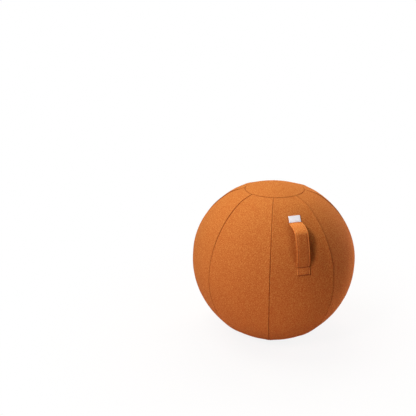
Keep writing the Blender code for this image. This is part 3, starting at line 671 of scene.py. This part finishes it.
# Places across a tape, the first and last where its edge is turned up
TAPE_SHARES = (0.0, 0.0, 0.03, 0.1, 0.3, 0.5, 0.7, 0.9, 0.97, 1.0, 1.0)
TAPE_EDGE = 0.0006
TAPE_RIPPLE = 0.0001
tape_weave = woven_material("zip_tape_weave", (0.006, 0.006, 0.007), (0.028, 0.028, 0.031), 0.0007, 0.7)
for side, inside, outside in (
    ("inner", TEETH_INNER - INNER_TAPE_WIDTH, TEETH_INNER),
    ("outer", TEETH_OUTER, HEM_RADIUS + HEM_OVERLAP),
):
    rows = []
    for step in range(TAPE_STEPS + 1):
        azimuth = TAPE_HALF_ANGLE * (2 * step / TAPE_STEPS - 1)
        row = []
        for column, share in enumerate(TAPE_SHARES):
            radius = inside + (outside - inside) * share
            at_edge = column in (0, len(TAPE_SHARES) - 1)
            lift = TAPE_EDGE if at_edge else TAPE_RIPPLE * math.cos(share * math.tau)
            row.append((ring_point(azimuth, radius, TAPE_HEIGHT + lift), (radius, azimuth * ZIP_RADIUS)))
        rows.append(row)
    tape = cloth_piece(f"woven_zip_tape_{side}", rows, tape_weave)
    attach(tape, "cover")
    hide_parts(f"zip_tape_{side}")


# Zip coils: nylon filament wound to a row of teeth along each tape, a moulded head on each tooth.
# They are sewn to the tapes' facing edges.
ZIP_END = math.radians(125)
TEETH_END_SHORT = 0.0036
TEETH_HALF_ANGLE = ZIP_END - TEETH_END_SHORT / ZIP_RADIUS
COIL_BOTTOM = 0.0073
TOOTH_HEIGHT = 0.0022
TOOTH_REACH = 0.0025
TOOTH_PITCH = 0.0022
# A tooth from the tape to its head: (share of its reach, share of its height)
TOOTH = [
    (0.0, 1.0), (0.0, 0.4), (0.3, 0.12), (0.6, 0.0), (0.86, 0.0), (1.0, 0.25), (1.0, 0.75), (0.86, 1.0),
]
# Rings along the coil on each tooth: (place in its pitch, share of its size)
TOOTH_RINGS = [(-0.3, 0.72), (-0.22, 1.0), (0.22, 1.0), (0.3, 0.72)]
nylon = grained_material(
    "zip_coil_nylon",
    colour=(0.03, 0.03, 0.033),
    roughness=0.4,
    grain=(900.0, 2.0),
    stops=[(0.35, (0.018, 0.018, 0.02)), (0.65, (0.042, 0.042, 0.046))],
    relief=(0.15, 0.0002),
)
for side, root, reach, offset in (
    ("inner", TEETH_INNER - TOOTH_REACH, TOOTH_REACH, 0.0),
    ("outer", TEETH_OUTER + TOOTH_REACH, -TOOTH_REACH, 0.5),
):
    points = []
    faces = []
    count = round(2 * TEETH_HALF_ANGLE * ZIP_RADIUS / TOOTH_PITCH) - 1
    for number in range(count):
        first = len(points)
        for along, swell in TOOTH_RINGS:
            out = outward(TEETH_HALF_ANGLE * (2 * (number + 0.5 + offset / 2 + along) / count - 1))
            for share, height in TOOTH:
                radius = root + reach * (0.5 + (share - 0.5) * swell)
                level = COIL_BOTTOM + TOOTH_HEIGHT * (0.5 + (height - 0.5) * swell)
                points.append(out * radius + upward(level))
        faces += skin_faces(len(TOOTH_RINGS), len(TOOTH), closed=True, first=first)
        faces.append(tuple(range(first, first + len(TOOTH))))
        faces.append(tuple(reversed(range(len(points) - len(TOOTH), len(points)))))
    mesh = bpy.data.meshes.new(f"nylon_coil_{side}")
    mesh.from_pydata(points, [], faces)
    clean_mesh(mesh, outwards=True)
    mesh.materials.append(nylon)
    coil = add_object(f"nylon_coil_{side}", mesh)
    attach(coil, "cover")
    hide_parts(f"zip_coil_{side}")


# Zip slider, its pull and the end stops: die-cast zinc with a dark nickel finish.
# The slider runs on the coils, and the stops are pressed on to the tapes' ends.
nickel = grained_material(
    "dark_nickel",
    colour=(0.30, 0.30, 0.31),
    roughness=0.34,
    grain=(380.0, 4.0),
    stops=[(0.35, (0.25, 0.25, 0.26)), (0.7, (0.37, 0.37, 0.375))],
    relief=(0.12, 0.0002),
)
shader_of(nickel).inputs["Metallic"].default_value = 1.0
for name in ("zip_slider", "zip_pull", "zip_stop_closed", "zip_stop_open"):
    finish_node(name, nickel)


# Backing patches: two pieces of the dark cloth inside the front gore, behind the strap's sewn ends.
# The strap is sewn through the felt into them, and they spread its pull.
STRAP_TOP = math.radians(51.0)
STRAP_LEAVES = math.radians(46.05)
STRAP_RETURNS = math.radians(17.5)
STRAP_FOOT = math.radians(11.9)
PATCH_WIDTH = 0.062
PATCH_DEPTH = 0.0033
PATCH_MARGIN = math.radians(1.1)
PATCH_STEPS = 12
PATCH_COLUMNS = 16
for side, high, low in (("upper", STRAP_TOP, STRAP_LEAVES), ("lower", STRAP_RETURNS, STRAP_FOOT)):
    rows = []
    for step in range(PATCH_STEPS + 1):
        latitude = high + PATCH_MARGIN + (low - high - 2 * PATCH_MARGIN) * step / PATCH_STEPS
        radius = cover_radius(latitude) - PATCH_DEPTH
        row = []
        for column in range(PATCH_COLUMNS + 1):
            aside = PATCH_WIDTH * (column / PATCH_COLUMNS - 0.5)
            azimuth = aside / (radius * math.cos(latitude))
            facing = outward(azimuth) * math.cos(latitude) + upward(math.sin(latitude))
            row.append((upward(BALL_MIDDLE) + facing * radius, (aside, latitude * radius)))
        rows.append(row)
    patch = cloth_piece(f"woven_patch_{side}", rows, base_weave)
    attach(patch, "cover")
    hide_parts(f"handle_patch_{side}")


# Carry strap: a band of felt folded round a thin foam core and sewn along both sides.
# Its ends are sewn down on the front gore and the middle stands off as a loop for a hand.
STRAP_GAP = 0.0003
# The free strap's shoulder, fold and hanging stretch: lengths, and how far the face looks up between
STRETCHES = (0.058, 0.010, 0.114)
FOLD = 1
FACE_RISES = (math.radians(84), math.radians(66), math.radians(38), math.radians(-6))
ROUTE_STEPS = 240


def front_facing(latitude):
    """Direction out of the ball at the front."""
    return Vector((0.0, -math.cos(latitude), math.sin(latitude)))


def front_point(latitude):
    """Point of the strap's underside where it lies on the middle of the front gore."""
    radius = cover_radius(latitude) + STRAP_GAP
    return Vector((0.0, -radius * math.cos(latitude), BALL_MIDDLE + radius * math.sin(latitude)))


def face_rise(travel):
    """How far the strap's face looks up after a length of free strap."""
    number = 0
    while number < len(STRETCHES) - 1 and travel > STRETCHES[number]:
        travel -= STRETCHES[number]
        number += 1
    share = travel / STRETCHES[number]
    if number == FOLD:
        share = rise(share, 0.0, 1.0)
    return FACE_RISES[number] + (FACE_RISES[number + 1] - FACE_RISES[number]) * share


# The route is drawn in the plane of the strap, then turned and stretched to meet the lower sewn end
leaves = front_point(STRAP_LEAVES)
returns = front_point(STRAP_RETURNS)
route = [0j]
for step in range(ROUTE_STEPS):
    lean = face_rise((step + 0.5) * sum(STRETCHES) / ROUTE_STEPS)
    route.append(route[-1] + complex(math.sin(lean), -math.cos(lean)))
meet = complex(leaves.y - returns.y, returns.z - leaves.z) / route[-1]
sewn_length = (STRAP_TOP - STRAP_LEAVES) * BALL_RADIUS
free_length = abs(meet) * ROUTE_STEPS
strap_length = 2 * sewn_length + free_length
# Distances from a sewn end over which the face turns away from the gore, and the felt comes free of it
FACE_TURN = 0.004
COMES_FREE = 0.022


def strap_place(travel):
    """Middle of the strap's underside, direction of its face, and how freely it stands."""
    if travel <= sewn_length:
        latitude = STRAP_TOP + (STRAP_LEAVES - STRAP_TOP) * travel / sewn_length
        return front_point(latitude), front_facing(latitude), 0.0
    if travel >= sewn_length + free_length:
        share = (travel - sewn_length - free_length) / sewn_length
        latitude = STRAP_RETURNS + (STRAP_FOOT - STRAP_RETURNS) * share
        return front_point(latitude), front_facing(latitude), 0.0
    free = (travel - sewn_length) / free_length
    first = min(int(free * ROUTE_STEPS), ROUTE_STEPS - 1)
    stride = (route[first + 1] - route[first]) * meet
    point = route[first] * meet + stride * (free * ROUTE_STEPS - first)
    facing = Vector((0.0, stride.imag, stride.real)).normalized()
    near = min(free, 1 - free) * free_length
    sewn_facing = front_facing(STRAP_LEAVES if free < 0.5 else STRAP_RETURNS)
    facing = sewn_facing.lerp(facing, rise(near, 0.0, FACE_TURN)).normalized()
    return leaves + Vector((0.0, -point.real, point.imag)), facing, rise(near, 0.0, COMES_FREE)


# Half of the strap's width at its folded upper end, and its gain further down
HALF_AT_TOP = 0.0232
HALF_GAIN = 0.0013
WIDENS = (0.03, 0.08)
# How far the strap lies aside at its top edge, by how much it is askew, and how far it comes back
SWAY_AT_TOP = -0.0015
SWAY_ASKEW = -0.0032
SWAY_BACK = 0.0012
COMES_BACK = (0.17, 0.05)
# The felt's bow on the shoulder, and the fall of its left margin
BOW_HEIGHT = 0.0055
BOW_RISE = 0.042
BOW_ENDS = (0.07, 0.055)
MARGIN_START = 0.66
MARGIN_FALL = 0.003


def strap_half(travel):
    """Half of the strap's width, a little less where its upper end is folded in under the label."""
    return HALF_AT_TOP + HALF_GAIN * rise(travel, *WIDENS)


def strap_sway(travel):
    """How far the strap's middle lies aside, because its upper end is sewn on a little askew."""
    askew = SWAY_ASKEW * min(1.0, travel / sewn_length)
    return SWAY_AT_TOP + askew + SWAY_BACK * rise(travel, *COMES_BACK)


def strap_bow(travel):
    """How far the felt bows up on the strap's shoulder, just below the label."""
    return BOW_HEIGHT * rise(travel, sewn_length, BOW_RISE) * (1 - rise(travel, *BOW_ENDS))


def strap_point(travel, aside, height):
    """Point on or in the strap, from its travel, its place across and its height."""
    middle, facing, free = strap_place(travel)
    height += strap_bow(travel)
    fall = aside ** 2 / (2 * BALL_RADIUS) * (1 - free)
    margin = max(0.0, (-aside / strap_half(travel) - MARGIN_START) / (1 - MARGIN_START))
    fall += MARGIN_FALL * margin ** 1.5 * free
    return middle + Vector((aside + strap_sway(travel), 0.0, 0.0)) + facing * (height - fall)


SIDE_SEAM = 0.79
CROSS_SEAMS = (strap_length - sewn_length + 0.002, strap_length - 0.0024)
CROSS_SEAM_WIDTH = 0.0013
CROSS_SEAM_DEPTH = 0.0012
OUTER_SEAM_SHARE = 0.4
# Share of the strap's thickness where it is sewn down, its least share, and how far its ends are rounded
SEWN_SWELL = 0.86
LEAST_SWELL = 0.1
END_ROUND = 0.0018
# Height in the strap that stays where it is as the felt is pressed
STILL_HEIGHT = 0.0004


def strap_swell(travel):
    """Share of the strap's full thickness, pressed where it is sewn and closed at its ends."""
    _, _, free = strap_place(travel)
    end = min(travel, strap_length - travel)
    closed = math.sqrt(max(0.0, 1 - max(0.0, 1 - end / END_ROUND) ** 2))
    return max(LEAST_SWELL, (SEWN_SWELL + (1 - SEWN_SWELL) * free) * closed)


def cross_seam(travel):
    """How near a place is to the two seams across the lower end, from 1 to 0."""
    inner, outer = [math.exp(-(((travel - seam) / CROSS_SEAM_WIDTH) ** 2)) for seam in CROSS_SEAMS]
    return max(inner, OUTER_SEAM_SHARE * outer)


def swelled(travel, height):
    """Height of a place in the strap, from its height at full thickness."""
    return STILL_HEIGHT + (height - STILL_HEIGHT) * strap_swell(travel)


def face_height(travel, height):
    """Height of a place on the strap's face, which the seams across its end press in."""
    return swelled(travel, height) - CROSS_SEAM_DEPTH * cross_seam(travel)


# Painted highlight on the shoulder and the lower end, and painted shade on the hanging face between them
SHOULDER_HIGHLIGHT = 0.45
SHOULDER_STARTS = (0.026, 0.01)
SHOULDER_ENDS = (0.08, 0.02)
END_HIGHLIGHT = 0.12
END_HIGHLIGHT_GROWS = 0.004
HANGING_FACE_SHADE = 0.13
HANGING_FACE_SHADE_STARTS = (0.1, 0.06)
# Painted shade in the side grooves, by the cross seams, at the sewn rim and ends, and beneath
GROOVE_SHADE = 0.3
GROOVE_WIDTH = 0.00075
CROSS_SEAM_SHADE = 0.6
RIM_SHADE = 0.45
RIM_STARTS = (0.92, 0.06)
RIM_FADES = (sewn_length - 0.002, 0.004)
END_SHADE = 1.3
END_SHADE_LENGTH = 0.0035
UNDERSIDE_SHADE = 0.3


def painted_strap_light(travel):
    """Painted highlight on the strap at a place, less its painted shade on the hanging face."""
    shoulder = rise(travel, *SHOULDER_STARTS) * (1 - rise(travel, *SHOULDER_ENDS))
    end = rise(travel, CROSS_SEAMS[0], END_HIGHLIGHT_GROWS)
    hanging_shade = rise(travel, *HANGING_FACE_SHADE_STARTS) * (1 - end)
    return SHOULDER_HIGHLIGHT * shoulder + END_HIGHLIGHT * end - HANGING_FACE_SHADE * hanging_shade


def face_shade(travel, share):
    """Painted shade on the strap's face at a place, less its painted highlight."""
    groove = math.exp(-(((abs(share) - SIDE_SEAM) * strap_half(travel) / GROOVE_WIDTH) ** 2))
    rim = RIM_SHADE * rise(abs(share), *RIM_STARTS) * (1 - rise(travel, *RIM_FADES))
    end = END_SHADE * (1 - min(travel, strap_length - travel) / END_SHADE_LENGTH)
    return max(GROOVE_SHADE * groove, CROSS_SEAM_SHADE * cross_seam(travel), rim, end) - painted_strap_light(travel)


# Section across the strap: (share of half width, height), over its face and back along its underside
STRAP_FACE = [
    (-1.0, 0.0014), (-0.99, 0.0022), (-0.965, 0.0029), (-0.92, 0.0035), (-0.86, 0.0038), (-0.81, 0.0036),
    (-0.79, 0.0034), (-0.77, 0.0036), (-0.71, 0.0040), (-0.5, 0.0042), (-0.25, 0.0042), (0.0, 0.0042),
    (0.25, 0.0042), (0.5, 0.0041), (0.71, 0.0039), (0.77, 0.0035), (0.79, 0.0031), (0.81, 0.0034),
    (0.85, 0.0041), (0.9, 0.0048), (0.94, 0.0051), (0.97, 0.0050), (0.99, 0.0043), (1.0, 0.0032),
]
STRAP_BACK = [
    (0.99, 0.0020), (0.96, 0.0012), (0.88, 0.0006), (0.785, 0.0005), (0.7, 0.0), (0.35, 0.0), (0.0, 0.0),
    (-0.35, 0.0), (-0.7, 0.0), (-0.785, 0.0005), (-0.88, 0.0002), (-0.96, 0.0003), (-0.99, 0.0007),
]
section = STRAP_FACE + STRAP_BACK
# Where the strap is sewn down, its turned edge spreads on the gore, most on the right, and lies flatter,
# as a flange that carries the painted shadow of the strap's end
SHADOW_FLANGE_RIGHT = 0.15
SHADOW_FLANGE_LEFT = 0.06
SHADOW_FLANGE_FLATTENS = 0.8
# Places along the strap that get a row of points: by its ends, on its stretches and by the cross seams
END_LINES = (0.0, 0.0002, 0.0008, 0.0018)
SEWN_STEPS = 8
FREE_STEPS = 90
SEAM_STEP = 0.0006
travels = [*END_LINES, *(strap_length - line for line in END_LINES)]
for start in (0.0, sewn_length + free_length):
    travels += [start + sewn_length * step / SEWN_STEPS for step in range(1, SEWN_STEPS)]
travels += [sewn_length + free_length * step / FREE_STEPS for step in range(FREE_STEPS + 1)]
for seam in CROSS_SEAMS:
    travels += [seam + step * SEAM_STEP for step in (-4, -2, -1, 0, 1, 2, 4)]
travels.sort()
rows = []
for travel in travels:
    half = strap_half(travel)
    _, _, free = strap_place(travel)
    row = []
    for number, (share, height) in enumerate(section):
        flat_place = (share * half, travel)
        if number < len(STRAP_FACE):
            level = face_height(travel, height)
            shade = face_shade(travel, share)
        else:
            shadow_flange = (1 - free) ** 3 if number in (len(STRAP_FACE), len(section) - 1) else 0.0
            share *= 1 + (SHADOW_FLANGE_RIGHT if share > 0 else SHADOW_FLANGE_LEFT) * shadow_flange
            level = swelled(travel, height * (1 - SHADOW_FLANGE_FLATTENS * shadow_flange))
            # Painted shade on the underside, and painted shadow on the flange
            shade = max(UNDERSIDE_SHADE, shadow_flange)
        row.append((strap_point(travel, share * half, level), flat_place, shade))
    rows.append(row)
strap = cloth_piece("felt_strap", rows, felt, closed=True, filled=("first", "last"))
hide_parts("handle_grip", "handle_root_upper", "handle_root_lower")
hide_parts("handle_anchor_upper", "handle_anchor_lower")
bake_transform(strap)


# Strap stitching: orange sewing thread along both sides of the strap and across its lower end.
# The stitches lie in the grooves that they pull into the felt.
orange_thread = thread_material("orange_thread", (0.16, 0.03, 0.008), (0.30, 0.07, 0.018))
SIDE_SEAM_MARGIN = 0.004
END_SEAM_MARGIN = 0.003
END_SEAM_HEIGHT = 0.0041
LEFT_GROOVE = 0.0034
RIGHT_GROOVE = 0.0031


def side_seam(share, groove):
    """Stitch line along the strap in one of its two grooves."""
    def path(distance):
        travel = SIDE_SEAM_MARGIN + distance
        height = face_height(travel, groove) + STITCH_LIFT
        return strap_point(travel, share * strap_half(travel), height), strap_place(travel)[1]
    return path


def end_seam(travel):
    """Stitch line across the strap."""
    def path(distance):
        aside = distance - SIDE_SEAM * strap_half(travel) + END_SEAM_MARGIN
        height = face_height(travel, END_SEAM_HEIGHT) + STITCH_LIFT
        return strap_point(travel, aside, height), strap_place(travel)[1]
    return path


for side, share, groove in (("left", -SIDE_SEAM, LEFT_GROOVE), ("right", SIDE_SEAM, RIGHT_GROOVE)):
    span = strap_length - 2 * SIDE_SEAM_MARGIN
    stitches = thread_piece(f"strap_stitches_{side}", side_seam(share, groove), span, orange_thread)
    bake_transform(stitches)
for side, travel in zip(("inner", "outer"), CROSS_SEAMS):
    span = 2 * (SIDE_SEAM * strap_half(travel) - END_SEAM_MARGIN)
    stitches = thread_piece(f"strap_end_stitches_{side}", end_seam(travel), span, orange_thread)
    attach(stitches, "cover")


# Label: a white woven tab over the strap's upper end, left blank.
# Its edges are folded under and it is sewn down through the strap all round.
LABEL_WIDTH = 0.045
LABEL_START = 0.0004
LABEL_HEIGHT = 0.0048
LABEL_MARGINS = 0.0012
label_length = sewn_length - LABEL_MARGINS
label_weave = woven_material("label_weave", (0.80, 0.77, 0.86), (0.96, 0.92, 1.0), 0.0009, 0.75)
# Places in from an edge: (distance, height)
LABEL_EDGE = [
    (0.0, 0.0041), (0.0001, 0.0046), (0.0005, 0.005),
    (0.0022, 0.0051), (0.0042, 0.005), (0.0052, 0.0048),
]


def label_lines(length, inner_shares):
    """Places and heights from one edge of the label to the other."""
    lines = list(LABEL_EDGE)
    lines += [(length * share, LABEL_HEIGHT) for share in inner_shares]
    lines += [(length - line, height) for line, height in reversed(LABEL_EDGE)]
    return lines


rows = []
for travel, end_height in label_lines(label_length, (2 / 6, 3 / 6, 4 / 6)):
    row = []
    for place, side_height in label_lines(LABEL_WIDTH, (2 / 8, 3 / 8, 4 / 8, 5 / 8, 6 / 8)):
        aside = place - LABEL_WIDTH / 2
        point = strap_point(LABEL_START + travel, aside, min(end_height, side_height))
        row.append((point, (aside, travel)))
    rows.append(row)
label = cloth_piece("woven_label", rows, label_weave)
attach(label, "cover")
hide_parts("handle_label")
white_thread = thread_material("white_thread", (0.62, 0.63, 0.65), (0.86, 0.86, 0.88))
LABEL_SEAM_INSET = 0.0026
LABEL_SEAM_HEIGHT = 0.0051


def label_seam(start, end):
    """Stitch line between two places on the label, each given as place across and travel."""
    span = math.dist(start, end)

    def path(distance):
        share = distance / span
        aside = start[0] + (end[0] - start[0]) * share
        travel = LABEL_START + start[1] + (end[1] - start[1]) * share
        return strap_point(travel, aside, LABEL_SEAM_HEIGHT), strap_place(travel)[1]
    return path, span


half = LABEL_WIDTH / 2 - LABEL_SEAM_INSET
low = label_length - LABEL_SEAM_INSET
corners = [(-half, LABEL_SEAM_INSET), (half, LABEL_SEAM_INSET), (half, low), (-half, low)]
for number, corner in enumerate(corners):
    path, span = label_seam(corner, corners[(number + 1) % len(corners)])
    name = f"label_stitches_{number + 1}"
    stitches = thread_piece(name, path, span, white_thread, thick=0.0002, length=0.0022, gap=0.0009)
    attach(stitches, "cover")


# Floor and light: a plain white floor in front of white that still takes the ball's shadow.
# One large soft lamp stands high on the left with a smaller one before it, one low on the right
# and one high behind.
FLOOR_REACH = 6
FLOOR_LEVEL = -0.0005
WHITE = (1.0, 1.0, 1.0, 1.0)
# Share of the floor's own shading, and so of the ball's shadow, that shows right under the ball
SHADOW_SHARE = 0.14
floor_paint = start_material("floor_paint", (0.85, 0.69, 0.68), 0.9)
floor_corners = [
    (across * FLOOR_REACH, along * FLOOR_REACH, FLOOR_LEVEL)
    for across, along in ((-1, -1), (1, -1), (1, 1), (-1, 1))
]
floor_mesh = bpy.data.meshes.new("floor")
floor_mesh.from_pydata(floor_corners, [], [(0, 1, 2, 3)])
floor_mesh.materials.append(floor_paint)
floor = add_object("floor", floor_mesh)


def white_to_viewers(material, plain, white, hold):
    """Shows a plain white to camera, mirror and glass rays, and the plain shader to all others."""
    rays = add_node(material, "LightPath")
    total = rays.outputs["Is Camera Ray"]
    for kind in ("Is Glossy Ray", "Is Transmission Ray"):
        total = combine(material, "MAXIMUM", total, rays.outputs[kind])
    if hold is not None:
        total = combine(material, "MULTIPLY", total, hold)
    seen = add_node(material, "MixShader")
    join(material, total, seen.inputs[0])
    join(material, plain, seen.inputs[1])
    join(material, white, seen.inputs[2])
    return seen.outputs[0]


glow = add_node(floor_paint, "Emission", Color=WHITE, Strength=1.0)
floor_place = add_node(floor_paint, "TexCoord")
nearness = add_node(floor_paint, "TexGradient")
nearness.gradient_type = "SPHERICAL"
clear = add_node(floor_paint, "Math")
clear.operation = "MULTIPLY_ADD"
clear.inputs[1].default_value = -SHADOW_SHARE
clear.inputs[2].default_value = 1.0
join(floor_paint, floor_place.outputs["Object"], nearness.inputs["Vector"])
join(floor_paint, nearness.outputs["Fac"], clear.inputs[0])
floor_shading = shader_of(floor_paint).outputs[0]
floor_face = white_to_viewers(floor_paint, floor_shading, glow.outputs[0], clear.outputs[0])
join(floor_paint, floor_face, floor_paint.node_tree.nodes["Material Output"].inputs["Surface"])

ROOM_LIGHT = 0.02
world = bpy.data.worlds.new("studio")
bpy.context.scene.world = world
world.use_nodes = True
room = world.node_tree.nodes["Background"]
room.inputs["Color"].default_value = WHITE
room.inputs["Strength"].default_value = ROOM_LIGHT
sky = add_node(world, "Background", Color=WHITE, Strength=1.0)
room_seen = white_to_viewers(world, room.outputs[0], sky.outputs[0], None)
join(world, room_seen, world.node_tree.nodes["World Output"].inputs["Surface"])

LAMP_DISTANCE = 3


def soft_lamp(name, azimuth, elevation, size, power, colour):
    """Square lamp that faces the ball, with its two angles in degrees."""
    lamp = bpy.data.lights.new(name, "AREA")
    lamp.size = size
    lamp.energy = power
    lamp.color = colour
    level = math.radians(elevation)
    away = ring_point(math.radians(azimuth), math.cos(level), math.sin(level))
    holder = add_object(name, lamp)
    holder.location = upward(BALL_MIDDLE) + away * LAMP_DISTANCE
    holder.rotation_euler = away.to_track_quat("Z", "Y").to_euler()


soft_lamp("lamp_left", -105, 62, size=1.8, power=64.0, colour=(0.85, 1.0, 0.93))
soft_lamp("lamp_front_left", -51, 37, size=0.5, power=41.0, colour=(1.0, 0.86, 0.85))
soft_lamp("lamp_right", 108, 5, size=0.9, power=66.0, colour=(1.0, 0.86, 0.78))
soft_lamp("lamp_back", 152, 62, size=1.6, power=44.0, colour=(0.96, 1.0, 0.9))


# Camera: stands above the ball and to the left of its strap, 2.6 m off.
# It looks past the ball's upper left, which puts the ball low on the right of the picture.
CAMERA_PLACE = Vector((-0.8482, -2.1911, 1.3167))
CAMERA_AIM = Vector((-0.2283, 0.1504, 0.4907))
CAMERA_ROLL = math.radians(-0.44)
SENSOR_WIDTH = 36.0
FOCAL_LENGTH = 54.37
lens = bpy.data.cameras.new("camera")
lens.sensor_width = SENSOR_WIDTH
lens.lens = FOCAL_LENGTH
camera = add_object("camera", lens)
camera.location = CAMERA_PLACE
aimed = (CAMERA_PLACE - CAMERA_AIM).to_track_quat("Z", "Y").to_matrix()
camera.rotation_euler = (aimed @ Matrix.Rotation(CAMERA_ROLL, 3, "Z")).to_euler()
bpy.context.scene.camera = camera
bpy.context.scene.view_settings.view_transform = "Standard"
